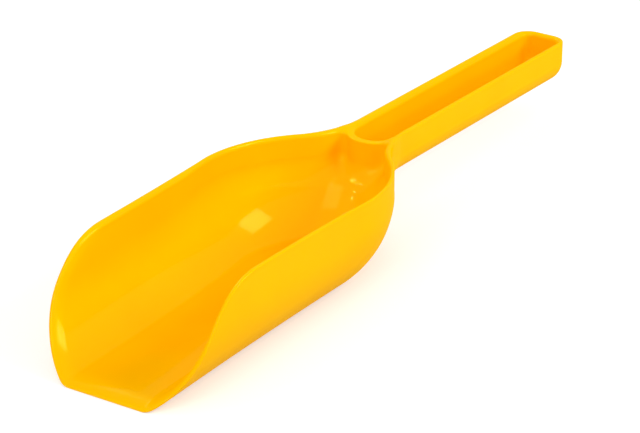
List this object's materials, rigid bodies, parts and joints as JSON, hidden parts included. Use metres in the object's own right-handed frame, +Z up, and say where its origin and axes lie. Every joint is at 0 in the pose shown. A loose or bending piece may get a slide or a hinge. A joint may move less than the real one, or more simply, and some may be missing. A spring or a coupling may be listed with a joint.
{
  "type": "sand scoop",
  "caption": "Child's hand scoop for sand: an open flat-bottomed trough with a swept mouth, a rounded back and a straight hollow handle, moulded in one piece of glossy plastic.",
  "frame": {"origin": "under the middle of the scoop's length, on its middle plane, on the surface that it rests on", "axes": "+X from the lip to the handle's end, +Y to the right of someone who holds it, +Z up"},
  "size_m": [0.27, 0.0634, 0.0363],
  "materials": {
    "plastic": "glossy injection-moulded polypropylene, opaque warm yellow"
  },
  "bodies": {
    "root": {"scoop_trough": "plastic", "handle_channel": "plastic", "partition_wall": "plastic"}
  },
  "joints": []
}
